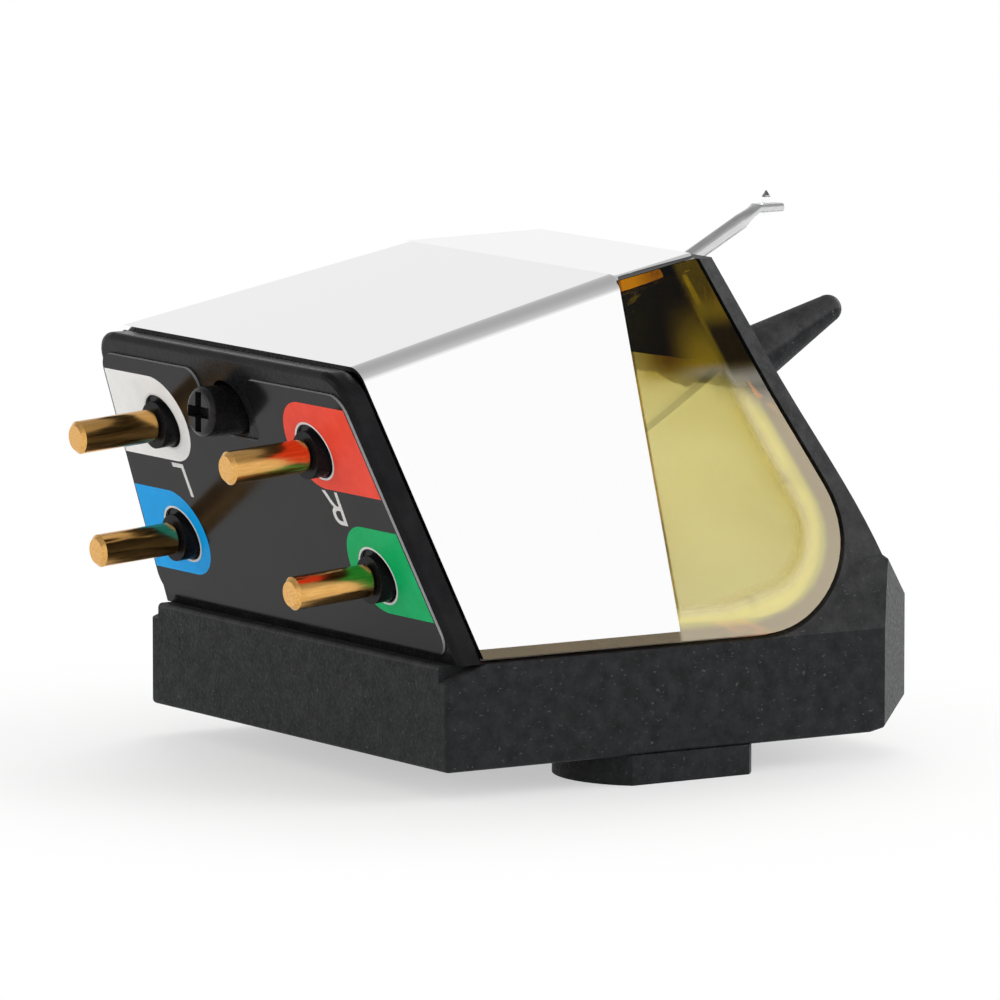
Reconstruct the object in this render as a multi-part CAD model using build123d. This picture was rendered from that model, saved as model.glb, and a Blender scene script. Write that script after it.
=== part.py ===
"""Moving-magnet phono cartridge, lying on its mounting pads with the stylus up.

Millimetres. +X runs from the terminal pins to the nose, +Y to the left channel, +Z up.
The origin is on the mounting plane, midway between the two mounting holes.
"""
import os
from math import cos, radians, sin, sqrt

from build123d import *

# Mounting: two tapped holes, each in a round pad under the base
hole_spacing = 12.7
hole_r = 1.05
hole_depth = 3.3
pad_r = 3.0
pad_h = 0.9

# Base slab and its toe
base_half_w = 8.5
base_rear_x = -8.65
base_side_x = 7.02
base_t = 3.16
toe_chamfer = 2.35
toe_front_z = 4.66
toe_bevel = 0.58
toe_bevel_run = 2.8
toe_root = 0.3
rear_corner_run = 1.4
rear_corner_drop = 0.5
rear_corner_w = 0.45
edge_r = 0.15

# Body: three leaning sections joined by straight lines
lean = 0.39
rear_x = -7.28
rear_top_z = 12.91
rear_top_w = 6.98
fold_x = -0.3
fold_lean = 0.066
fold_top_z = 15.0
fold_top_w = 6.0
nose_x = 8.0
nose_top_z = 15.36
nose_top_w = 3.87
nose_kink_z = 6.25
nose_kink_w = 8.15
bend_r = 0.45
top_edge_r = 0.1

# Wall thicknesses of the body's pieces
sheet_t = 0.15
sheet_gap = 0.02
amber_t = 0.55
amber_corner_r = 3.2
nose_wall = 0.6
nose_drop = 0.26
seat_gap = 0.03
seam_w = 0.15
seam_depth = 0.35
sheet_foot = 0.44
tongue_x = 2.78

# Peg on the nose
peg_angle = 24.6
peg_z = 10.38
peg_root_r = 1.32
peg_tip_r = 0.44
peg_len = 6.1
peg_sunk = 0.3

# Terminal plate, its label and the pins
plate_x = -8.17
plate_edge = 0.06
plate_top_z = 12.78
plate_corner_r = 1.0
plate_round = 0.18
spigot_len = 0.8
spigot_gap = 0.02
label_t = 0.08
label_edge = 0.16
label_top_z = 12.12
label_foot_z = 4.3
label_corner_r = 0.7
notch_half_w = 1.42
notch_depth = 2.1
notch_r = 0.5
label_hole_r = 0.88
label_hole_lift = 0.1
collar_r = 0.72
collar_out = 0.45
pin_r = 0.5
pin_out = 3.2
pin_in = 2.9
pin_shank_r = 0.3
pin_chamfer = 0.12
pin_angle = 4.5
pin_upper_y = 4.37
pin_upper_z = 10.12
pin_lower_y = 5.62
pin_lower_z = 6.44

# Retaining screw of the terminal plate
screw_z = 11.0
screw_head_r = 0.76
screw_head_h = 1.55
screw_head_round = 0.19
screw_r = 0.4
screw_len = 3.6
screw_proud = 1.15
screw_bore_r = 0.9
cross_w = 0.34
cross_len = 1.2
cross_depth = 0.4

# Stylus: everything below is along the cantilever's line, measured inwards from the nose face
stylus_angle = 28.4
exit_z = 13.86
nose_hole_r = 0.7
tube_r = 0.25
tube_bore_r = 0.17
tube_out = 3.7
tube_in = 0.55
tongue_w = 0.62
tongue_t = 0.26
tongue_edge_r = 0.12
tongue_z = 16.01
tongue_start_x = 8.0
tongue_end_x = 8.85
diamond_w = 0.2
diamond_x = 8.38
diamond_z = 16.54
diamond_tip = 0.2
diamond_end_w = 0.033
diamond_below = 0.1

# Magnet, damper, sleeve and tie wire
magnet_s = 1.55
magnet_len = 1.2
magnet_r = 0.5
swing_gap = 0.06
damper_t = 0.42
damper_r = 0.85
wire_r = 0.06
wire_gap = 0.09
wire_in_magnet = 0.25
sleeve_len = 2.3
sleeve_r = 0.8
anchor_r = 0.3
anchor_len = 0.25

# Cores, bobbins and coils
core_t = 0.6
pole_r = 0.8
pole_s = 1.75
pole_bend_s = 2.6
leg_s = 3.3
leg_r = 2.15
yoke_t = 0.6
yoke_left_s = 7.2
yoke_right_s = 8.1
bobbin_s = 4.8
bobbin_len = 2.3
bobbin_r = 0.62
flange_r = 1.05
flange_t = 0.2
coil_r = 0.98
fit_gap = 0.01
lead_r = 0.12
lead_reach = 0.85

# Carrier of the generator
carrier_s = 3.45
carrier_block = 1.25
carrier_half_h = 2.2
carrier_half_w = 3.3
rail_s = 1.6
rail_t = 0.55
rail_half_h = 1.2
bridge_s = 9.0
bridge_t = 0.7
boss_half_w = 1.1
boss_low_z = 9.3
boss_top_z = 12.0
boss_front_x = -4.45

# Damping fill in the lower front of the housing
fill_gap = 0.05
fill_back_x = -1.6
fill_ledge = 0.4
fill_ledge_z = 10.36
fill_ledge_rise = 0.43
fill_top_z = 12.48
fill_top_rise = -0.19
fill_channel = 2.75
fill_channel_gap = 0.1

# Sizes that follow from those above, and how far a cut runs past what it cuts
base_z = pad_h
top_z = base_z + base_t
toe_front_x = base_side_x + toe_chamfer
sheet_z = top_z + sheet_foot
lean_len = sqrt(1 + lean**2)
far = 40.0
over = 1.0
low = (Align.CENTER, Align.CENTER, Align.MIN)
c_sty = cos(radians(stylus_angle))
s_sty = sin(radians(stylus_angle))
damper_s = magnet_s + magnet_len + swing_gap
sleeve_s = damper_s + damper_t + swing_gap
exit_x = nose_x - lean * (exit_z - top_z)


def leaning(x, slope):
    """Plane that leans back, through x at the top face of the base; local x is +Y, local y runs up it."""
    return Plane(origin=(x, 0, top_z), x_dir=(0, 1, 0), z_dir=(1, 0, slope))


def side_prism(points, half_w=base_half_w + over):
    """Solid with a side view given as (x, z) points."""
    face = make_face(Polyline(*[(x, 0, z) for x, z in points], close=True))
    return extrude(face, amount=half_w, dir=(0, 1, 0), both=True)


def body_section(x, slope, kink_w, high, top_w, inset, foot, edge):
    """One leaning section of the body with rounded top edges, set in by a wall thickness."""
    length = sqrt(1 + slope**2)
    rise = (high - top_z - inset) * length
    kink = (nose_kink_z - top_z) * length
    corner = max(edge - inset, top_edge_r)
    lower = base_half_w - inset
    upper = top_w - inset
    slant = (kink_w - top_w) / ((high - nose_kink_z) * length)
    along = corner / sqrt(1 + slant**2)
    side_end = (upper + along * slant, rise - along)
    mid = (kink_w - inset, kink)
    half = (mid[0] / 2 + side_end[0] / 2, mid[1] / 2 + side_end[1] / 2)
    start = (lower, foot * length)
    aim = (-slant, 1)
    right = Spline(start, mid, half, side_end, tangents=[((mid[0] - start[0]) / kink, 1), aim])
    bend = TangentArc(side_end, (upper - corner, rise), tangent=aim)
    edges = [right, bend, mirror(right, about=Plane.YZ), mirror(bend, about=Plane.YZ)]
    edges.append(Line((upper - corner, rise), (corner - upper, rise)))
    edges.append(Line((-lower, foot * length), start))
    return leaning(x, slope) * make_face(edges)


def straight_w(top_w, high):
    """Half width of a flat-sided section at the height where the nose has its kink."""
    return base_half_w - (base_half_w - top_w) * (nose_kink_z - top_z) / (high - top_z)


def body(inset=0.0, foot=0.0):
    """The whole wedge from the terminal end to the nose, set in by a wall thickness."""
    rear_kink_w = straight_w(rear_top_w, rear_top_z)
    fold_kink_w = straight_w(fold_top_w, fold_top_z)
    rear = body_section(rear_x, lean, rear_kink_w, rear_top_z, rear_top_w, inset, foot, bend_r)
    bent, sharp = [
        body_section(fold_x, fold_lean, fold_kink_w, fold_top_z, fold_top_w, inset, foot, edge)
        for edge in (bend_r, top_edge_r)
    ]
    nose = body_section(nose_x, lean, nose_kink_w, nose_top_z, nose_top_w, inset, foot, top_edge_r)
    return loft([rear, bent], ruled=True) + loft([sharp, nose], ruled=True)


def top_line(depth):
    """Points along the top of the body, a depth below its outer surface."""
    rear = (rear_x - lean * (rear_top_z - top_z), rear_top_z - depth)
    fold = (fold_x - fold_lean * (fold_top_z - top_z), fold_top_z - depth)
    nose = (nose_x - lean * (nose_top_z - top_z), nose_top_z - depth)
    slope_rear = (fold[1] - rear[1]) / (fold[0] - rear[0])
    slope_nose = (nose[1] - fold[1]) / (nose[0] - fold[0])
    behind_rear = (rear[0] - over, rear[1] - over * slope_rear)
    past_nose = (nose[0] + over, nose[1] + over * slope_nose)
    return [behind_rear, fold, past_nose]


def amber_profile(inset, foot):
    """Side view of the space that the amber housing fills, set in by a wall thickness."""
    step = nose_wall + inset * lean_len
    floor = top_z + foot
    front_low = nose_x - step - lean * (floor - top_z)
    front_high = nose_x - step - lean * (far - top_z)
    face = make_face(
        Polyline((-far, 0, floor), (front_low, 0, floor), (front_high, 0, far), (-far, 0, far), close=True)
    )
    corner = face.vertices().sort_by(Axis.X)[-1]
    return extrude(fillet(corner, amber_corner_r - foot), amount=far, dir=(0, 1, 0), both=True)


def behind(x, slope):
    """Everything behind a leaning plane."""
    low_end = (x + slope * (far + top_z), -far)
    high_end = (x - slope * (far - top_z), far)
    return side_prism([(-far, -far), low_end, high_end, (-far, far)], far)


def below(z, slope):
    """Everything below a sloping plane that passes through z above the mounting holes."""
    return side_prism([(-far, -far), (far, -far), (far, z + slope * far), (-far, z - slope * far)])


def above_level(z):
    """Everything above a level."""
    return side_prism([(-far, z), (far, z), (far, far), (-far, far)])


wedge = body()
gen = Plane(origin=(exit_x, 0, exit_z), x_dir=(0, -1, 0), z_dir=(-c_sty, 0, -s_sty))
amber_space = amber_profile(0, 0)
os.makedirs("parts", exist_ok=True)


def rod(radius, start, end):
    """Round bar on the cantilever's line between two depths."""
    return gen * Pos(0, 0, start) * Cylinder(radius, end - start, align=low)


nose_hole = rod(nose_hole_r, -over, magnet_s)

# Mount body: slab, toe, nose wall, peg and pads in one moulding
outline = Polyline(
    (base_rear_x, -base_half_w),
    (base_side_x, -base_half_w),
    (toe_front_x, -base_half_w + toe_chamfer),
    (toe_front_x, base_half_w - toe_chamfer),
    (base_side_x, base_half_w),
    (base_rear_x, base_half_w),
    close=True,
)
slab = extrude(Pos(0, 0, base_z) * make_face(outline), amount=base_t)
toe = extrude(Pos(0, 0, top_z) * make_face(outline), amount=nose_kink_z - top_z)
kink_x = nose_x - lean * (nose_kink_z - top_z)
toe_side = Polyline(
    (-base_half_w, top_z),
    (base_half_w, top_z),
    (nose_kink_w, nose_kink_z),
    (-nose_kink_w, nose_kink_z),
    close=True,
)
toe &= extrude(Plane.YZ * make_face(toe_side), amount=far)
toe_back_x = kink_x - toe_root
toe &= side_prism([
    (toe_back_x, top_z),
    (toe_front_x, top_z),
    (toe_front_x, toe_front_z),
    (kink_x, nose_kink_z),
    (toe_back_x, nose_kink_z),
])
nose_low = nose_top_z - nose_drop
nose = wedge - amber_space - above_level(nose_low)
nose &= extrude(Pos(0, 0, top_z) * make_face(outline), amount=far)
bevel_x = toe_front_x - toe_bevel_run
slab -= side_prism([(bevel_x, base_z), (toe_front_x, base_z + toe_bevel), (toe_front_x, base_z)])
rounded = slab.edges().filter_by(
    lambda e: e.center().X < base_rear_x + edge_r or e.center().Z < base_z + toe_bevel + edge_r
)
slab = fillet(rounded, edge_r)
for side in (-1, 1):
    corner = Polyline(
        (base_rear_x - over, 0, top_z - rear_corner_drop * (1 + over / rear_corner_run)),
        (base_rear_x + rear_corner_run, 0, top_z),
        (base_rear_x - over, 0, top_z),
        close=True,
    )
    start = Pos(0, side * (base_half_w - rear_corner_w), 0)
    slab -= start * extrude(make_face(corner), amount=side * over, dir=(0, 1, 0))
peg_dir = (cos(radians(peg_angle)), 0, sin(radians(peg_angle)))
peg_plane = Plane(origin=(nose_x - lean * (peg_z - top_z), 0, peg_z), x_dir=(0, 1, 0), z_dir=peg_dir)
peg = Pos(0, 0, -peg_sunk) * Cone(peg_root_r, peg_tip_r, peg_len - peg_tip_r + peg_sunk, align=low)
peg = peg_plane * (peg + Pos(0, 0, peg_len - peg_tip_r) * Sphere(peg_tip_r))
mount_body = slab + toe + nose + peg
for side in (-1, 1):
    centre = Pos(0, side * hole_spacing / 2, 0)
    pad = centre * Cylinder(pad_r, pad_h, align=low)
    keep = Box(2 * pad_r, 2 * base_half_w, 2 * pad_h)
    mount_body += pad & keep
    mount_body -= centre * Cylinder(hole_r, hole_depth, align=low)
mount_body -= nose_hole

# Shield cover: folded sheet, two side panels and a top panel that runs on as a tongue
under_sheet = side_prism(top_line(sheet_t) + [(far, -far), (-far, -far)])
fold_side = behind(fold_x, fold_lean)
panels = (wedge - body(sheet_t, -over)) & fold_side
panels &= above_level(sheet_z)
tongue = (wedge - under_sheet - fold_side) & behind(tongue_x, 0)
shield_cover = panels + tongue

# Amber housing: hollow moulding under the cover, open at the terminal end
cavity = body(sheet_t + amber_t, amber_t) & amber_profile(amber_t, amber_t)
cavity &= side_prism(top_line(sheet_t + amber_t) + [(far, -far), (-far, -far)])
seam = amber_space - amber_profile(seam_w, seam_w) - body(seam_depth, -over)
sheet_room = (wedge - body(sheet_t + sheet_gap, -over)) & fold_side & above_level(sheet_z)
under_room = side_prism(top_line(sheet_t + sheet_gap) + [(far, -far), (-far, -far)])
amber_housing = wedge & amber_profile(seat_gap, seat_gap) & under_room
amber_housing = amber_housing - sheet_room - cavity - seam - nose_hole

# Terminal plate: closes the open end, carries a collar round each pin
draft = (base_half_w - rear_top_w) / ((rear_top_z - top_z) * lean_len)
plate_high = (plate_top_z - top_z) * lean_len
plate_low_w = base_half_w - plate_edge
plate_high_w = plate_low_w - draft * plate_high
plate_face = leaning(rear_x, lean) * make_face(
    Polyline(
        (plate_low_w, 0),
        (plate_high_w, plate_high),
        (-plate_high_w, plate_high),
        (-plate_low_w, 0),
        close=True,
    )
)
plate_face = fillet(plate_face.vertices().sort_by(Axis.Z)[-2:], plate_corner_r)
terminal_plate = extrude(plate_face, amount=rear_x - plate_x, dir=(-1, 0, 0))
rear_edges = terminal_plate.faces().sort_by(Axis.X)[0].edges()
terminal_plate = fillet(rear_edges.filter_by(lambda e: e.center().Z > top_z + plate_round), plate_round)
spigot_inset = sheet_t + amber_t + spigot_gap
spigot = body(spigot_inset, amber_t + spigot_gap) & behind(rear_x + spigot_len, lean)
terminal_plate += spigot
plate_plane = leaning(plate_x, lean)
pin_places = {
    "left_hot": (pin_upper_y, pin_upper_z),
    "left_return": (pin_lower_y, pin_lower_z),
    "right_hot": (-pin_upper_y, pin_upper_z),
    "right_return": (-pin_lower_y, pin_lower_z),
}
pin_dir = Vector(cos(radians(pin_angle)), 0, sin(radians(pin_angle)))
pins = {}
tails = {}
for name, (y, z) in pin_places.items():
    root = Vector(plate_x - lean * (z - top_z), y, z)
    tip = root - pin_dir * pin_out
    tails[name] = root + pin_dir * pin_in
    pin_line = Plane(origin=tip, x_dir=(0, 1, 0), z_dir=pin_dir)
    contact = Cylinder(pin_r, pin_out - collar_out, align=low)
    contact = chamfer(contact.edges().filter_by(GeomType.CIRCLE), pin_chamfer)
    pins[name] = pin_line * (contact + Cylinder(pin_shank_r, pin_out + pin_in, align=low))
    collar = Pos(0, 0, pin_out - collar_out) * Cylinder(collar_r, collar_out + pin_r, align=low)
    terminal_plate += pin_line * collar
    terminal_plate -= pins[name]

# Retaining screw: cross-head, through the plate into the carrier's boss
face_x = plate_x - lean * (screw_z - top_z)
head_x = face_x - screw_proud
seat_x = head_x + screw_head_h
screw_line = Plane(origin=(head_x, 0, screw_z), x_dir=(0, 1, 0), z_dir=(1, 0, 0))
head = Cylinder(screw_head_r, screw_head_h, align=low)
head = fillet(head.edges().filter_by(GeomType.CIRCLE).sort_by(Axis.Z)[0], screw_head_round)
cross = Box(cross_len, cross_w, 2 * cross_depth) + Box(cross_w, cross_len, 2 * cross_depth)
shank = Pos(0, 0, screw_head_h) * Cylinder(screw_r, screw_len, align=low)
retaining_screw = screw_line * (head - cross + shank)
screw_way = Pos(0, 0, -over) * Cylinder(screw_bore_r, screw_head_h + over, align=low)
screw_way = screw_line * (screw_way + shank)
terminal_plate -= screw_way

# Terminal label: thin sheet on the plate, notched round the screw
label_low = (label_foot_z - top_z) * lean_len
label_high = (label_top_z - top_z) * lean_len
low_w = plate_low_w - label_edge - draft * label_low
high_w = plate_low_w - label_edge - draft * label_high
label_face = make_face(
    Polyline(
        (low_w, label_low),
        (high_w, label_high),
        (-high_w, label_high),
        (-low_w, label_low),
        close=True,
    )
)
label_face = fillet(label_face.vertices(), label_corner_r)
notch = Pos(0, label_high) * RectangleRounded(2 * notch_half_w, 2 * notch_depth, notch_r)
label_face -= notch
mouth = label_face.vertices().filter_by(
    lambda v: abs(v.X) < 2 * notch_half_w and v.Y > label_high - notch_r
)
label_face = fillet(mouth, notch_r)
holes = Sketch() + [
    Pos(y, (z - top_z) * lean_len + label_hole_lift) * Circle(label_hole_r)
    for y, z in pin_places.values()
]
terminal_label = plate_plane * extrude(label_face - holes, amount=-label_t)

# Cantilever: thin-walled tube, crushed flat at its end to hold the diamond
tube = rod(tube_r, -tube_out, magnet_s + tube_in) - rod(tube_bore_r, -tube_out, magnet_s + tube_in)
neck_end = Plane(origin=(tongue_start_x, 0, tongue_z), x_dir=(0, 1, 0), z_dir=(1, 0, 0))
flat_face = neck_end * RectangleRounded(tongue_w, tongue_t, tongue_edge_r)
neck = loft([gen * Pos(0, 0, -tube_out) * Circle(tube_r), flat_face])
flat = extrude(flat_face, amount=tongue_end_x - tongue_start_x)
diamond_low = tongue_z - tongue_t / 2 - diamond_below
diamond_rod = diamond_z - diamond_tip - diamond_low
stone = Pos(diamond_x, 0, diamond_low) * Box(diamond_w, diamond_w, diamond_rod, align=low)
point = loft([
    Pos(diamond_x, 0, diamond_low + diamond_rod) * Rectangle(diamond_w, diamond_w),
    Pos(diamond_x, 0, diamond_z) * Rectangle(diamond_end_w, diamond_end_w),
])
diamond_stylus = stone + point
cantilever_tube = tube + neck + flat - stone

# Magnet, damper, sleeve and tie wire
magnet = rod(magnet_r, magnet_s, magnet_s + magnet_len) - rod(tube_r, magnet_s, magnet_s + tube_in)
magnet -= rod(wire_r + wire_gap, magnet_s + magnet_len - 2 * wire_in_magnet, magnet_s + magnet_len)
wire_way = rod(wire_r + wire_gap, damper_s, sleeve_s + sleeve_len)
damper_ring = rod(damper_r, damper_s, damper_s + damper_t) - wire_way
suspension_sleeve = rod(sleeve_r, sleeve_s, sleeve_s + sleeve_len) - wire_way
anchor_s = sleeve_s + sleeve_len
tie_wire = rod(wire_r, magnet_s + magnet_len - wire_in_magnet, anchor_s)
tie_wire += rod(anchor_r, anchor_s, anchor_s + anchor_len)

# Cores: one per channel, two poles at the magnet joined by a yoke behind the coils
half_leg = core_t / 2


def core(turn, yoke_s):
    """U-shaped core in a plane turned about the cantilever's line."""
    across = gen.x_dir * cos(radians(turn)) + gen.y_dir * sin(radians(turn))
    plane = Plane(origin=gen.origin, x_dir=across, z_dir=across.cross(gen.z_dir))
    outer = [
        (pole_r, pole_s),
        (pole_r + core_t, pole_s),
        (pole_r + core_t, pole_bend_s),
        (leg_r + half_leg, leg_s),
        (leg_r + half_leg, yoke_s + yoke_t),
    ]
    inner = [(leg_r - half_leg, yoke_s), (leg_r - half_leg, leg_s), (pole_r, pole_bend_s)]
    mirrored_outer = [(-r, s) for r, s in reversed(outer)]
    mirrored_inner = [(-r, s) for r, s in reversed(inner)]
    points = outer + mirrored_outer + mirrored_inner + inner
    return extrude(plane * make_face(Polyline(*points, close=True)), amount=half_leg, both=True)


core_left = core(135, yoke_left_s)
core_right = core(45, yoke_right_s)

# Bobbins and coils, one on each leg
corners = {"left_upper": 135, "left_lower": 315, "right_upper": 45, "right_lower": 225}
bobbins = {}
coils = {}
lead_ends = {}
leg_hole = core_t + 2 * fit_gap
coil_s = bobbin_s + flange_t
coil_len = bobbin_len - 2 * flange_t
for name, turn in corners.items():
    place = Pos(leg_r * cos(radians(turn)), leg_r * sin(radians(turn)), bobbin_s)
    spool = Cylinder(bobbin_r, bobbin_len, align=low) + Cylinder(flange_r, flange_t, align=low)
    spool += Pos(0, 0, bobbin_len - flange_t) * Cylinder(flange_r, flange_t, align=low)
    spool -= Rot(0, 0, turn) * Box(leg_hole, leg_hole, 3 * bobbin_len)
    winding = Cylinder(coil_r, coil_len, align=low) - Cylinder(bobbin_r, coil_len, align=low)
    bobbins[name] = gen * place * spool
    coils[name] = gen * place * Pos(0, 0, flange_t) * winding
    reach = leg_r + lead_reach
    lead_ends[name] = gen.from_local_coords(
        Vector(reach * cos(radians(turn)), reach * sin(radians(turn)), bobbin_s + bobbin_len)
    )

# Leads: from the tail of each pin to the end of a coil
lead_way = {
    "left_hot": ("left_upper", (0.55, 0.5)),
    "left_return": ("left_lower", (0.4, -0.9)),
    "right_hot": ("right_upper", (0.55, 0.5)),
    "right_return": ("right_lower", (0.4, 0.2)),
}
leads = {}
outward = gen.z_dir * -1
for name, (coil_name, (share, lift)) in lead_way.items():
    begin = tails[name]
    end = lead_ends[coil_name]
    middle = begin + (end - begin) * share + Vector(0, 0, lift)
    path = Spline(begin, middle, end, tangents=[pin_dir, outward])
    leads[name] = sweep(Plane(origin=begin, z_dir=pin_dir) * Circle(lead_r), path=path)

# Carrier: frame that holds sleeve and cores, screwed to the terminal plate by its boss
rail_len = bridge_s + bridge_t - rail_s
frame_box = Pos(0, 0, rail_s) * Box(2 * carrier_half_w, 2 * rail_half_h, rail_len, align=low)
block = Pos(0, 0, carrier_s) * Box(2 * carrier_half_w, 2 * carrier_half_h, carrier_block, align=low)
pocket = Pos(0, 0, rail_s) * Box(2 * (carrier_half_w - rail_t), far, bridge_s - rail_s, align=low)
generator_carrier = gen * (block + (frame_box - pocket))
boss_outline = [
    (-far, boss_low_z),
    (boss_front_x, boss_low_z),
    (boss_front_x, boss_top_z),
    (-far, boss_top_z),
]
boss = side_prism(boss_outline, boss_half_w) - behind(rear_x + spigot_len, lean)
generator_carrier += boss
generator_carrier -= rod(sleeve_r, carrier_s, carrier_s + carrier_block)
generator_carrier -= core_left
generator_carrier -= core_right
generator_carrier -= screw_way

# Damping fill: pale resin cast into the lower front of the housing, open round the generator
fill_inset = amber_t + fill_gap
fill = body(sheet_t + fill_inset, amber_t) & below(fill_ledge_z, fill_ledge_rise)
fill += body(sheet_t + fill_inset + fill_ledge, amber_t)
fill &= amber_profile(fill_inset, amber_t) & below(fill_top_z, fill_top_rise)
fill -= behind(fill_back_x, 0)
channel_w = 2 * (carrier_half_w + fill_channel_gap)
channel = Box(channel_w, far, 2 * far, align=(Align.CENTER, Align.MIN, Align.CENTER))
damping_fill = fill - gen * Pos(0, -fill_channel, 0) * channel

nodes = {
    "mount_body": mount_body,
    "amber_housing": amber_housing,
    "damping_fill": damping_fill,
    "shield_cover": shield_cover,
    "terminal_plate": terminal_plate,
    "terminal_label": terminal_label,
    "retaining_screw": retaining_screw,
    "cantilever_tube": cantilever_tube,
    "diamond_stylus": diamond_stylus,
    "magnet": magnet,
    "damper_ring": damper_ring,
    "suspension_sleeve": suspension_sleeve,
    "tie_wire": tie_wire,
    "generator_carrier": generator_carrier,
    "core_left": core_left,
    "core_right": core_right,
}
for name in pin_places:
    nodes["pin_" + name] = pins[name]
    nodes["lead_" + name] = leads[name]
for name in corners:
    nodes["bobbin_" + name] = bobbins[name]
    nodes["coil_" + name] = coils[name]
for name, shape in nodes.items():
    export_step(shape, os.path.join("parts", name + ".step"))
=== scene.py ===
from math import cos, radians, sin

import bpy
from mathutils import Matrix, Vector


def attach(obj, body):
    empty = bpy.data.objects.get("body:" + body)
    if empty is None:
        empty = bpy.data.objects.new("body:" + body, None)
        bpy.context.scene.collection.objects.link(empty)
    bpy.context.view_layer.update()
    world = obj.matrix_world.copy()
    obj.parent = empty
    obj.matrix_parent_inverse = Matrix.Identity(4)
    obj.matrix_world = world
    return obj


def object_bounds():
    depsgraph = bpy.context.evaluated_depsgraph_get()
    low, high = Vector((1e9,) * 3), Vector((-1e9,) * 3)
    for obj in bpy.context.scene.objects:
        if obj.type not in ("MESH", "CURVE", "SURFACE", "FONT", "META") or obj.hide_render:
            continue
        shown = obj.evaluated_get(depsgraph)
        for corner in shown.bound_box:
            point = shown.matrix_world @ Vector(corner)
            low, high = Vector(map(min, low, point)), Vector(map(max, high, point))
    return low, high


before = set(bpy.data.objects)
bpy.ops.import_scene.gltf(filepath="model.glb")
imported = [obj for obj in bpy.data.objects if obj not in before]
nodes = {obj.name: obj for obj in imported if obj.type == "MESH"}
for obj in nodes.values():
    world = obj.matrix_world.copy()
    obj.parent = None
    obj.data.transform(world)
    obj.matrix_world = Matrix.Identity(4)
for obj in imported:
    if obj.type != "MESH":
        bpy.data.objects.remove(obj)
cad_low, cad_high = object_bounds()
mm = 0.001

# Mount body
# One dark glass-filled moulding: slab, toe, nose wall, peg and the two pads, matt from a spark-eroded mould.
# Short fibres show in it as pale specks. Faces that lean upwards carry painted light from above.
body_dark = (0.007, 0.0075, 0.008, 1)
body_pale = (0.021, 0.022, 0.0235, 1)
painted_light_dark = (0.026, 0.026, 0.027, 1)
painted_light_pale = (0.05, 0.05, 0.052, 1)
speck_pale = (0.06, 0.063, 0.067, 1)
mask_off = (0, 0, 0, 1)
mask_on = (1, 1, 1, 1)
noise_low = 0.3
noise_high = 0.7


def new_finish(name, **sockets):
    """Material with one Principled shader, its constant sockets set by name."""
    made = bpy.data.materials.new(name)
    made.use_nodes = True
    shader = made.node_tree.nodes["Principled BSDF"]
    for socket, value in sockets.items():
        shader.inputs[socket.replace("_", " ")].default_value = value
    return made


def node(made, kind, **settings):
    """New node in a material or world, with its own settings."""
    fresh = made.node_tree.nodes.new(kind)
    for name, value in settings.items():
        setattr(fresh, name, value)
    return fresh


def link(made, output, socket):
    """Links an output to a socket of another node."""
    made.node_tree.links.new(output, socket)


def feed(made, output, socket):
    """Links an output to a socket of the Principled shader."""
    link(made, output, made.node_tree.nodes["Principled BSDF"].inputs[socket])


def coords(made, kind):
    """Texture coordinates of one kind."""
    return node(made, "ShaderNodeTexCoord").outputs[kind]


def axis(made, vector, letter):
    """One component of a vector."""
    parts = node(made, "ShaderNodeSeparateXYZ")
    link(made, vector, parts.inputs["Vector"])
    return parts.outputs[letter]


def grain(made, size_mm, detail=3.0, rough=0.5, stretch=(1, 1, 1), turn=(0, 0, 0)):
    """Noise on Object coordinates with features of about this size; stretch lengthens them."""
    mapping = node(made, "ShaderNodeMapping", vector_type="TEXTURE")
    mapping.inputs["Rotation"].default_value = turn
    mapping.inputs["Scale"].default_value = stretch
    noise = node(made, "ShaderNodeTexNoise")
    noise.inputs["Scale"].default_value = 1 / (size_mm * mm)
    noise.inputs["Detail"].default_value = detail
    noise.inputs["Roughness"].default_value = rough
    link(made, coords(made, "Object"), mapping.inputs["Vector"])
    link(made, mapping.outputs["Vector"], noise.inputs["Vector"])
    return noise.outputs["Fac"]


def blend(made, amount, stops):
    """Colour ramp over an amount; stops are (place, colour)."""
    ramp = node(made, "ShaderNodeValToRGB")
    points = ramp.color_ramp.elements
    while len(points) < len(stops):
        points.new(0.5)
    for point, (place, colour) in zip(points, stops):
        point.position = place
        point.color = colour
    link(made, amount, ramp.inputs["Fac"])
    return ramp.outputs["Color"]


def map_range(made, amount, start, end, low, high, curve="LINEAR"):
    """Value that runs from low to high while an amount runs from start to end."""
    mapped = node(made, "ShaderNodeMapRange", interpolation_type=curve)
    mapped.inputs["From Min"].default_value = start
    mapped.inputs["From Max"].default_value = end
    mapped.inputs["To Min"].default_value = low
    mapped.inputs["To Max"].default_value = high
    link(made, amount, mapped.inputs["Value"])
    return mapped.outputs["Result"]


def spread(made, noise, low, high):
    """Maps the middle of a noise to a range."""
    return map_range(made, noise, noise_low, noise_high, low, high)


def relief(made, *layers):
    """Bump from (height, depth in mm, strength) layers, one on another."""
    normal = None
    for height, depth_mm, strength in layers:
        bump = node(made, "ShaderNodeBump")
        bump.inputs["Distance"].default_value = depth_mm * mm
        bump.inputs["Strength"].default_value = strength
        link(made, height, bump.inputs["Height"])
        if normal:
            link(made, normal, bump.inputs["Normal"])
        normal = bump.outputs["Normal"]
    feed(made, normal, "Normal")


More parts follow.
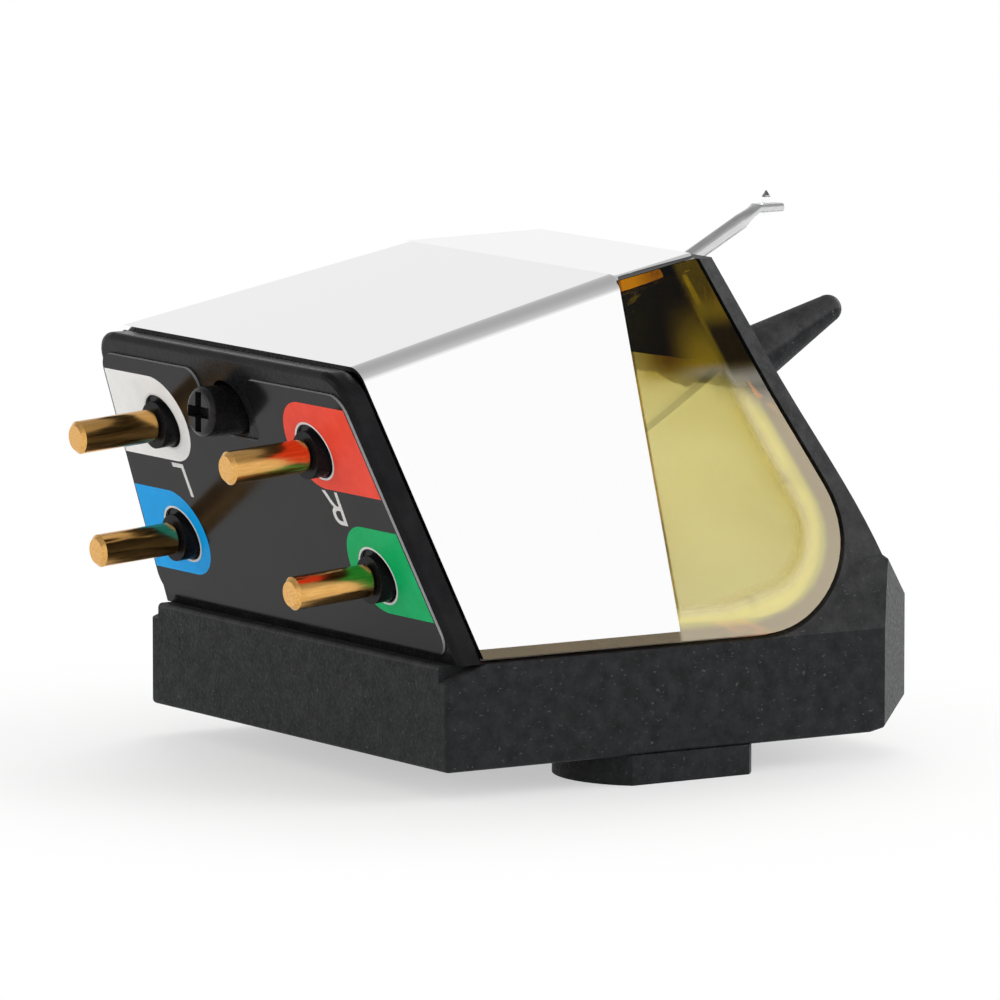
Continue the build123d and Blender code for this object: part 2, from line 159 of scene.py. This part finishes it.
def mix(made, amount, first, second):
    """Colour mixed from two colours or outputs by an amount."""
    mixed = node(made, "ShaderNodeMix", data_type="RGBA")
    link(made, amount, mixed.inputs["Factor"])
    for value, socket in ((first, mixed.inputs[6]), (second, mixed.inputs[7])):
        if isinstance(value, tuple):
            socket.default_value = value
        else:
            link(made, value, socket)
    return mixed.outputs[2]


def dress(piece, made):
    """Gives a piece one material all over."""
    piece.data.materials.clear()
    piece.data.materials.append(made)


body_black = new_finish("spark_eroded_black", Roughness=0.6, Specular_IOR_Level=0.16)
mottle = grain(body_black, 0.5, 4.0, 0.6)
pits = grain(body_black, 0.11, 3.0, 0.6)
fibres = grain(body_black, 0.09, 2.0, 0.5, (2.5, 1, 1), (0, 0, 0.5))
charcoal = blend(body_black, mottle, [(noise_low, body_dark), (noise_high, body_pale)])
# Painted light: faces that lean upwards get a paler copy of the colour, standing in for light from above.
painted_light_tint = blend(body_black, mottle, [(noise_low, painted_light_dark), (noise_high, painted_light_pale)])
upward = axis(body_black, coords(body_black, "Normal"), "Z")
painted_light_mask = blend(body_black, upward, [(0.08, mask_off), (0.24, mask_on)])
charcoal = mix(body_black, painted_light_mask, charcoal, painted_light_tint)
specks = blend(body_black, fibres, [(0.66, mask_off), (0.74, mask_on)])
feed(body_black, mix(body_black, specks, charcoal, speck_pale), "Base Color")
feed(body_black, spread(body_black, pits, 0.45, 0.72), "Roughness")
relief(body_black, (pits, 0.03, 0.5), (mottle, 0.03, 0.25))
dress(nodes["mount_body"], body_black)

# Magnet, damper, sleeve and tie wire
# The swinging end of the stylus: a plated magnet held by a steel wire against a rubber ring.
# The ring bears on a turned brass sleeve, and the wire is anchored behind it.
magnet_dark = (0.5, 0.5, 0.51, 1)
magnet_pale = (0.62, 0.62, 0.63, 1)
rubber_dark = (0.02, 0.02, 0.021, 1)
rubber_pale = (0.045, 0.045, 0.046, 1)
sleeve_dark = (0.5, 0.34, 0.12, 1)
sleeve_pale = (0.7, 0.5, 0.2, 1)
wire_dark = (0.5, 0.5, 0.5, 1)
wire_pale = (0.7, 0.7, 0.7, 1)


def metal(name, dark, pale, size_mm, low, high, stretch=(1, 1, 1), turn=(0, 0, 0), depth_mm=0.004):
    """Bare or plated metal: colour, gloss and fine relief follow one stretched noise."""
    made = new_finish(name, Metallic=1.0)
    lines = grain(made, size_mm, 3.0, 0.6, stretch, turn)
    feed(made, blend(made, lines, [(noise_low, dark), (noise_high, pale)]), "Base Color")
    feed(made, spread(made, lines, low, high), "Roughness")
    relief(made, (lines, depth_mm, 0.25))
    return made


def plastic(name, dark, pale, size_mm, low, high, depth_mm=0.01, **sockets):
    """Moulded plastic or rubber: mottled colour, uneven gloss and a faint grain."""
    made = new_finish(name, **sockets)
    cloud = grain(made, size_mm, 4.0, 0.55)
    skin = grain(made, size_mm / 5, 2.0)
    feed(made, blend(made, cloud, [(noise_low, dark), (noise_high, pale)]), "Base Color")
    feed(made, spread(made, skin, low, high), "Roughness")
    relief(made, (skin, depth_mm, 0.3))
    return made


dress(nodes["magnet"], metal("magnet_plating", magnet_dark, magnet_pale, 0.2, 0.2, 0.32))
dress(nodes["damper_ring"], plastic("damper_rubber", rubber_dark, rubber_pale, 0.4, 0.7, 0.85))
dress(nodes["suspension_sleeve"], metal("sleeve_brass", sleeve_dark, sleeve_pale, 0.08, 0.18, 0.34))
dress(nodes["tie_wire"], metal("tie_wire_steel", wire_dark, wire_pale, 0.05, 0.18, 0.3))

# Generator
# Two crossed soft-iron cores, a spool with a winding on each leg, and the frame that holds them.
# The windings are enamelled copper, and four leads run from them to the terminal pins.
carrier_dark = (0.003, 0.003, 0.003, 1)
carrier_pale = (0.006, 0.006, 0.006, 1)
iron_dark = (0.2, 0.2, 0.21, 1)
iron_pale = (0.34, 0.34, 0.35, 1)
spool_dark = (0.5, 0.47, 0.4, 1)
spool_pale = (0.62, 0.59, 0.52, 1)
copper_dark = (0.33, 0.11, 0.035, 1)
copper_pale = (0.62, 0.26, 0.1, 1)
carrier_black = plastic("carrier_black", carrier_dark, carrier_pale, 0.6, 0.5, 0.7, Specular_IOR_Level=0.1)
core_iron = metal("core_iron", iron_dark, iron_pale, 0.3, 0.4, 0.6)
spool_nylon = plastic("spool_nylon", spool_dark, spool_pale, 0.5, 0.4, 0.55)
winding = metal("winding_copper", copper_dark, copper_pale, 0.06, 0.25, 0.42)
dress(nodes["generator_carrier"], carrier_black)
for name, piece in nodes.items():
    if name.startswith("core_"):
        dress(piece, core_iron)
    elif name.startswith("bobbin_"):
        dress(piece, spool_nylon)
    elif name.startswith(("coil_", "lead_")):
        dress(piece, winding)

# Damping fill
# Pale resin, cast into the lower front of the housing and open round the generator.
# It is slightly cloudy, so light goes a little way into it.
fill_dark = (0.86, 0.83, 0.69, 1)
fill_pale = (0.93, 0.9, 0.78, 1)
fill_resin = plastic("pale_resin", fill_dark, fill_pale, 1.6, 0.35, 0.5, Subsurface_Weight=0.2)
dress(nodes["damping_fill"], fill_resin)

# Amber housing
# Hollow moulding of clear yellow resin, polished, open at the terminal end and seated in the mount body.
# Painted light is laid on by place: a yellow glow at its foot and front, with a lilac reflection at their rim.
# More painted light: a golden glow in the top, a dark reflection on the upper front edge, brown shade behind
# the fold.
clear_dark = (0.95, 0.92, 0.8, 1)
clear_pale = (0.98, 0.96, 0.87, 1)
painted_glow_yellow = (0.84, 0.77, 0.36, 1)
painted_rim_reflection = (0.6, 0.51, 0.36, 1)
painted_golden_glow = (0.4, 0.27, 0.012, 1)
painted_shade_brown = (0.3, 0.17, 0.01, 1)
painted_dark_reflection = (0.01, 0.006, 0.001, 1)
depth_tint = (0.98, 0.9, 0.4, 1)
depth_density = 900.0
painted_glow_share = 0.58
painted_glow_gain = 1.8
golden_glow_share = 0.3
dark_reflection_share = 0.75
corner_x = 2.717
corner_z = 7.26
front_angle = 21.3
corner_angles = (front_angle, 7.0, -7.0, -21.0, -35.0, -49.0, -63.0, -77.0)
ahead = (1, 0, 0)
above = (0, 0, 1)
across_fold = (1, 0, 0.066)
amber = new_finish("amber_resin", IOR=1.5)
flow = grain(amber, 2.5, 2.0, 0.4)


def dot(made, vector, direction):
    """How far a vector goes along a direction."""
    product = node(made, "ShaderNodeVectorMath", operation="DOT_PRODUCT")
    product.inputs[1].default_value = direction
    link(made, vector, product.inputs[0])
    return product.outputs["Value"]


def ramp_along(made, direction, start_mm, end_mm, low, high):
    """Value that runs from low to high between two distances along a direction."""
    distance = dot(made, coords(made, "Object"), direction)
    return map_range(made, distance, start_mm * mm, end_mm * mm, low, high, "SMOOTHSTEP")


def join(made, operation, first, second):
    """Math node on two outputs or numbers."""
    joined = node(made, "ShaderNodeMath", operation=operation)
    for value, socket in ((first, joined.inputs[0]), (second, joined.inputs[1])):
        if isinstance(value, float):
            socket.default_value = value
        else:
            link(made, value, socket)
    return joined.outputs["Value"]


def outline_way(angle):
    """Direction at an angle in the side view, and how far along it the round corner's centre lies."""
    aim = (cos(radians(angle)), 0, sin(radians(angle)))
    return aim, corner_x * aim[0] + corner_z * aim[2]


# Painted glow: yellow along the foot and the front border, with a painted lilac reflection along their outer
# rim.
wall_glow = ramp_along(amber, above, 4.75, 5.3, painted_glow_share, 0.0)
rim = ramp_along(amber, above, 4.45, 4.7, 1.0, 0.0)
for angle in corner_angles:
    aim, reach = outline_way(angle)
    border = ramp_along(amber, aim, reach + 1.6, reach + 2.2, 0.0, painted_glow_share)
    wall_glow = join(amber, "MAXIMUM", wall_glow, border)
    rim = join(amber, "MAXIMUM", rim, ramp_along(amber, aim, reach + 2.4, reach + 2.65, 0.0, 1.0))
wall_glow = join(amber, "MULTIPLY", wall_glow, ramp_along(amber, above, 10.2, 12.2, 1.0, 0.0))
wall_glow = join(amber, "MULTIPLY", wall_glow, ramp_along(amber, across_fold, -0.15, 0.05, 0.45, 1.0))
# Painted golden glow in the upper part, above the fill.
over_fill = ramp_along(amber, above, 11.6, 12.2, 0.0, 1.0)
upper_glow = ramp_along(amber, ahead, 0.6, 2.2, 0.0, golden_glow_share)
upper_glow = join(amber, "MULTIPLY", upper_glow, ramp_along(amber, above, 12.0, 14.2, 1.0, 0.0))
upper_glow = join(amber, "MULTIPLY", upper_glow, over_fill)
golden_glow_zone = join(amber, "MULTIPLY", ramp_along(amber, ahead, -0.4, 0.7, 0.0, 1.0), over_fill)
# Painted dark reflection along the upper front edge.
aim, reach = outline_way(front_angle)
dark_reflection_edge = ramp_along(amber, aim, reach + 1.75, reach + 2.15, 0.0, 1.0)
dark_reflection_edge = join(amber, "MULTIPLY", dark_reflection_edge, ramp_along(amber, above, 10.8, 12.2, 0.0, 1.0))
dark_reflection_edge = join(amber, "MULTIPLY", dark_reflection_edge, ramp_along(amber, above, 13.0, 14.2, 1.0, 0.15))

clear = blend(amber, flow, [(noise_low, clear_dark), (noise_high, clear_pale)])
# Painted brown shade behind the fold line.
resin_and_painted_light = mix(amber, ramp_along(amber, across_fold, 0.03, 0.1, 1.0, 0.0), clear, painted_shade_brown)
resin_and_painted_light = mix(amber, join(amber, "MULTIPLY", wall_glow, painted_glow_gain), resin_and_painted_light, mix(amber, rim, painted_glow_yellow, painted_rim_reflection))
resin_and_painted_light = mix(amber, golden_glow_zone, resin_and_painted_light, painted_golden_glow)
resin_and_painted_light = mix(amber, dark_reflection_edge, resin_and_painted_light, painted_dark_reflection)
# The painted light takes the place of part of the clear transmission.
painted_light_share = join(amber, "MAXIMUM", wall_glow, upper_glow)
painted_light_share = join(amber, "MAXIMUM", painted_light_share, join(amber, "MULTIPLY", dark_reflection_edge, dark_reflection_share))
place_y = axis(amber, coords(amber, "Object"), "Y")
normal_y = axis(amber, coords(amber, "Normal"), "Y")
outer_face = join(amber, "GREATER_THAN", join(amber, "MULTIPLY", place_y, normal_y), 0.0)
painted_light_share = join(amber, "MULTIPLY", painted_light_share, outer_face)
feed(amber, resin_and_painted_light, "Base Color")
feed(amber, join(amber, "SUBTRACT", 1.0, painted_light_share), "Transmission Weight")
feed(amber, spread(amber, flow, 0.01, 0.03), "Roughness")
relief(amber, (flow, 0.004, 0.1))
resin_depth = node(amber, "ShaderNodeVolumeAbsorption")
resin_depth.inputs["Color"].default_value = depth_tint
resin_depth.inputs["Density"].default_value = depth_density
link(amber, resin_depth.outputs["Volume"], amber.node_tree.nodes["Material Output"].inputs["Volume"])
dress(nodes["amber_housing"], amber)

# Shield cover
# Thin sheet, mirror polished, cut and folded over the housing: two sides, top and a short tongue.
# Only hairline marks of the polish break the mirror.
mirror = new_finish("mirror_sheet", Base_Color=(0.98, 0.98, 0.98, 1), Metallic=1.0)
hairline = grain(mirror, 0.05, 2.0, 0.5, (40, 1, 1), (0, 0.2, 0.1))
feed(mirror, spread(mirror, hairline, 0.02, 0.05), "Roughness")
relief(mirror, (hairline, 0.0006, 0.15))
dress(nodes["shield_cover"], mirror)

# Terminal plate and pins
# Black moulding that closes the rear end, with a collar round each pin.
# The pins are turned, gold plated and pressed through it.
plate_dark = (0.006, 0.006, 0.007, 1)
plate_pale = (0.013, 0.013, 0.014, 1)
gold_dark = (0.64, 0.34, 0.09, 1)
gold_pale = (0.84, 0.48, 0.16, 1)
pin_angle = radians(4.5)
plate_black = plastic("plate_black", plate_dark, plate_pale, 0.8, 0.2, 0.34, 0.006, Specular_IOR_Level=0.08)
dress(nodes["terminal_plate"], plate_black)
gold = metal("gold_plating", gold_dark, gold_pale, 0.06, 0.14, 0.26, (12, 1, 1), (0, -pin_angle, 0))
for name, piece in nodes.items():
    if name.startswith("pin_"):
        dress(piece, gold)

# Terminal label
# Gloss film stuck on the plate, black, with a pale cut edge and a printed field for each pin.
# White and red mark the live pins of the left and right channels, blue and green their returns.
film_dark = (0.005, 0.005, 0.005, 1)
film_pale = (0.009, 0.009, 0.009, 1)
cut_pale = (0.35, 0.35, 0.36, 1)
lean = 0.39
plate_x = -8.17 * mm
slab_top = 4.06 * mm
label_t = 0.08 * mm
label_out = Vector((-1, 0, -lean)).normalized()
label_up = Vector((-lean, 0, 1)).normalized()
label_foot = Vector((plate_x, 0, slab_top)) + label_out * label_t
label_film = new_finish("label_film", Specular_IOR_Level=0.11)
film_cloud = grain(label_film, 1.2, 3.0)
film_black = blend(label_film, film_cloud, [(noise_low, film_dark), (noise_high, film_pale)])
facing = dot(label_film, coords(label_film, "Normal"), label_out)
cut_edge = blend(label_film, facing, [(0.4, mask_on), (0.6, mask_off)])
feed(label_film, mix(label_film, cut_edge, film_black, cut_pale), "Base Color")
feed(label_film, spread(label_film, film_cloud, 0.1, 0.18), "Roughness")
relief(label_film, (film_cloud, 0.01, 0.1))
dress(nodes["terminal_label"], label_film)

# Colour fields of the label
# Printed areas, one round each pin, that run out to the side edge of the label.
# Each is a thin layer of ink with a fine pale rim where the film is punched for the pin.
field_r = 1.43 * mm
rim_r = 0.95 * mm
punched_r = 0.88 * mm
ink_t = 0.008 * mm
ink_shine = 0.1
edge_low = 8.22 * mm
edge_slope = 0.16
hot_across = 4.37 * mm
hot_up = 6.605 * mm
return_across = 5.62 * mm
return_up = 2.655 * mm
white_dark = (0.86, 0.86, 0.85, 1)
white_pale = (0.92, 0.92, 0.91, 1)
blue_dark = (0.0, 0.36, 0.86, 1)
blue_pale = (0.004, 0.4, 0.94, 1)
red_dark = (0.86, 0.065, 0.035, 1)
red_pale = (0.94, 0.085, 0.05, 1)
green_dark = (0.0, 0.42, 0.12, 1)
green_pale = (0.004, 0.47, 0.15, 1)
rim_dark = (0.72, 0.72, 0.71, 1)
rim_pale = (0.8, 0.8, 0.79, 1)
fields = {
    "left_hot": (1, hot_across, hot_up, 0.09 * mm, white_dark, white_pale),
    "left_return": (1, return_across, return_up, 0.06 * mm, blue_dark, blue_pale),
    "right_hot": (-1, hot_across, hot_up, 0.18 * mm, red_dark, red_pale),
    "right_return": (-1, return_across, return_up, 0.18 * mm, green_dark, green_pale),
}
pale_ink = plastic("ink_pale", rim_dark, rim_pale, 0.5, 0.4, 0.55, 0.002, Specular_IOR_Level=ink_shine)
label_axes = Matrix((Vector((0, 1, 0)), label_up, -label_out)).transposed().to_4x4()
label_place = Matrix.Translation(label_foot) @ label_axes


def settle(piece):
    """Puts a piece that was drawn flat on the label, with its place in its mesh."""
    piece.matrix_world = label_place
    bpy.ops.object.transform_apply()
    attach(piece, "cartridge")


for name, (side, across, up, lift, dark, pale) in fields.items():
    bpy.ops.object.select_all(action="DESELECT")
    bpy.ops.mesh.primitive_circle_add(vertices=96, radius=punched_r)
    field = bpy.context.object
    field.name = "field_" + name
    bpy.ops.object.mode_set(mode="EDIT")
    bpy.ops.mesh.select_all(action="SELECT")
    for grow in (rim_r / punched_r, field_r / rim_r):
        bpy.ops.mesh.extrude_region_move()
        bpy.ops.transform.resize(value=(grow, grow, 1))
    bpy.ops.transform.translate(value=(0, lift, 0))
    bpy.ops.mesh.select_all(action="DESELECT")
    bpy.ops.object.mode_set(mode="OBJECT")
    for point in field.data.vertices:
        outer = (point.co - Vector((0, lift, 0))).length > (field_r + rim_r) / 2
        point.select = outer and side * point.co.x > -ink_t
    bpy.ops.object.mode_set(mode="EDIT")
    bpy.ops.transform.translate(value=(side * edge_low, 0, 0))
    bpy.ops.mesh.select_all(action="SELECT")
    bpy.ops.transform.translate(value=(side * across, up, 0))
    bpy.ops.mesh.bisect(
        plane_co=(side * edge_low, 0, 0), plane_no=(side, edge_slope, 0), clear_outer=True
    )
    bpy.ops.object.mode_set(mode="OBJECT")
    ink = plastic("ink_" + name, dark, pale, 0.6, 0.4, 0.55, 0.002, Specular_IOR_Level=ink_shine)
    dress(field, ink)
    field.data.materials.append(pale_ink)
    centre = Vector((side * across, up, 0))
    for face in field.data.polygons:
        face.material_index = int((face.center - centre).length < rim_r)
    layer = field.modifiers.new("layer", "SOLIDIFY")
    layer.thickness = ink_t
    layer.offset = 0
    bpy.ops.object.modifier_apply(modifier=layer.name)
    settle(field)

# Channel letters
# One letter for each channel, printed in pale ink on the film.
# They stand upside down, because the part lies on its mounting face here.
letter_h = 1.62 * mm
letters = {"L": (4.36 * mm, 4.7 * mm), "R": (-4.48 * mm, 4.81 * mm)}
for letter, (across, up) in letters.items():
    bpy.ops.object.select_all(action="DESELECT")
    bpy.ops.object.text_add()
    mark = bpy.context.object
    mark.name = "letter_" + letter
    mark.data.body = letter
    mark.data.size = letter_h
    mark.data.extrude = ink_t / 2
    mark.data.align_x = "CENTER"
    mark.data.align_y = "CENTER"
    bpy.ops.object.convert(target="MESH")
    mark.matrix_world = Matrix.Translation((across, up, 0)) @ Matrix.Rotation(radians(180), 4, "X")
    bpy.ops.object.transform_apply()
    dress(mark, pale_ink)
    settle(mark)

# Retaining screw
# Small cross-head steel screw with a black oxide finish.
# It is driven through the plate into the carrier's boss.
oxide_dark = (0.006, 0.006, 0.007, 1)
oxide_pale = (0.014, 0.014, 0.015, 1)
black_oxide = plastic("black_oxide", oxide_dark, oxide_pale, 0.3, 0.18, 0.3, 0.004, Specular_IOR_Level=0.25)
dress(nodes["retaining_screw"], black_oxide)

# Cantilever and diamond
# Drawn aluminium tube, crushed flat at its end, with fine lines along it.
# The ground diamond is glued through the flat.
tube_dark = (0.6, 0.6, 0.61, 1)
tube_pale = (0.76, 0.76, 0.76, 1)
tube_lines = (1, 1, 12)
tube_turn = (0, radians(61.6), 0)
diamond_clear = (0.95, 0.96, 0.98, 1)
diamond_bend = 2.42
aluminium = metal("tube_aluminium", tube_dark, tube_pale, 0.04, 0.16, 0.3, tube_lines, tube_turn)
diamond = new_finish("diamond", Base_Color=diamond_clear, Transmission_Weight=1.0, IOR=diamond_bend)
facets = grain(diamond, 0.05, 2.0)
feed(diamond, spread(diamond, facets, 0.01, 0.06), "Roughness")
dress(nodes["cantilever_tube"], aluminium)
dress(nodes["diamond_stylus"], diamond)

# Floor
# Pale paper that takes the part's soft shadow and runs out into the white surround.
# Towards its rim the camera and the mirror see it as plain white.
floor_r = 0.6
paper_pale = (0.9, 0.9, 0.89, 1)
shadow_near = 0.005
shadow_far = 0.028
bpy.ops.object.select_all(action="DESELECT")
bpy.ops.mesh.primitive_circle_add(vertices=96, radius=floor_r, fill_type="NGON")
floor = bpy.context.object
floor.name = "floor"
paper = new_finish("floor_paper", Base_Color=paper_pale, Roughness=0.9, Specular_IOR_Level=0.1)
from_middle = node(paper, "ShaderNodeVectorMath", operation="LENGTH")
link(paper, coords(paper, "Object"), from_middle.inputs[0])
fade = map_range(paper, from_middle.outputs["Value"], shadow_near, shadow_far, 0.5, 1.0, "SMOOTHSTEP")
ray = node(paper, "ShaderNodeLightPath")
seen = join(paper, "MAXIMUM", ray.outputs["Is Camera Ray"], ray.outputs["Is Glossy Ray"])
white_paper = node(paper, "ShaderNodeEmission")
paper_mix = node(paper, "ShaderNodeMixShader")
link(paper, join(paper, "MULTIPLY", fade, seen), paper_mix.inputs["Fac"])
link(paper, paper.node_tree.nodes["Principled BSDF"].outputs["BSDF"], paper_mix.inputs[1])
link(paper, white_paper.outputs["Emission"], paper_mix.inputs[2])
link(paper, paper_mix.outputs["Shader"], paper.node_tree.nodes["Material Output"].inputs["Surface"])
dress(floor, paper)

# Surround
# An even white sky, darker overhead, which the bend of the mirror sheet shows, and a little darker behind.
# A dark flag at the far right keeps the upper part of the amber clear. The camera itself sees plain white.
sky_levels = ((0.0, 1.0), (0.27, 0.99), (0.35, 0.88), (0.5, 0.58), (1.0, 0.36))
behind_level = 0.93
flag_level = 0.1
flag_aim = (0.919, -0.246, 0.309)
world = bpy.data.worlds.new("studio")
bpy.context.scene.world = world
world.use_nodes = True
sky_way = coords(world, "Generated")
sky_stops = [(place, (level, level, level, 1)) for place, level in sky_levels]
sky_shade = blend(world, axis(world, sky_way, "Z"), sky_stops)
flag = map_range(world, dot(world, sky_way, flag_aim), 0.9, 0.945, 1.0, flag_level, "SMOOTHSTEP")
behind = map_range(world, axis(world, sky_way, "Y"), 0.2, 0.6, 1.0, behind_level)
ray = node(world, "ShaderNodeLightPath")
dimmed = join(world, "MULTIPLY", flag, behind)
sky_strength = join(world, "MAXIMUM", dimmed, ray.outputs["Is Diffuse Ray"])
sky = world.node_tree.nodes["Background"]
plain = node(world, "ShaderNodeBackground")
plain.inputs["Color"].default_value = (1, 1, 1, 1)
sky_mix = node(world, "ShaderNodeMixShader")
link(world, sky_shade, sky.inputs["Color"])
link(world, sky_strength, sky.inputs["Strength"])
link(world, ray.outputs["Is Camera Ray"], sky_mix.inputs["Fac"])
link(world, sky.outputs["Background"], sky_mix.inputs[1])
link(world, plain.outputs["Background"], sky_mix.inputs[2])
link(world, sky_mix.outputs["Shader"], world.node_tree.nodes["World Output"].inputs["Surface"])

# Lamps
# Five soft square lamps that look at the part's middle: three at the right, one behind and one at the left.
# Those that would show in the mirror sheet or inside the amber are hidden from such rays.
middle = (cad_low + cad_high) / 2


def softbox(name, place, size, watts, mirrored=True, through=True):
    """Square lamp; it can be hidden from mirror rays and from rays that go through clear pieces."""
    data = bpy.data.lights.new(name, "AREA")
    data.size = size
    data.energy = watts
    lamp = bpy.data.objects.new(name, data)
    bpy.context.collection.objects.link(lamp)
    lamp.location = place
    lamp.rotation_euler = (middle - lamp.location).to_track_quat("-Z", "Y").to_euler()
    lamp.visible_glossy = mirrored
    lamp.visible_transmission = through


softbox("window_light", (0.285, -0.252, 0.15), 0.2, 0.65, mirrored=False)
softbox("rim_light", (0.34, 0.16, 0.06), 0.15, 0.55, through=False)
softbox("side_light", (0.38, -0.12, 0.07), 0.2, 0.8, mirrored=False, through=False)
softbox("back_light", (0.15, 0.2, 0.25), 0.2, 0.5, mirrored=False, through=False)
softbox("left_light", (-0.35, 0.1, 0.05), 0.2, 0.18)

# Camera
# It stands at the terminal end's right, a little above the part, with a long lens.
eye = Vector((-173.95, -269.74, 49.03)) * mm
target = Vector((-2.896, -2.428, 7.981)) * mm
camera_data = bpy.data.cameras.new("camera")
camera_data.lens = 382.5
camera_data.sensor_width = 36.0
camera_data.clip_start = 0.01
camera = bpy.data.objects.new("camera", camera_data)
bpy.context.collection.objects.link(camera)
camera.location = eye
camera.rotation_euler = (target - eye).to_track_quat("-Z", "Y").to_euler()
scene = bpy.context.scene
scene.camera = camera
scene.view_settings.view_transform = "Standard"
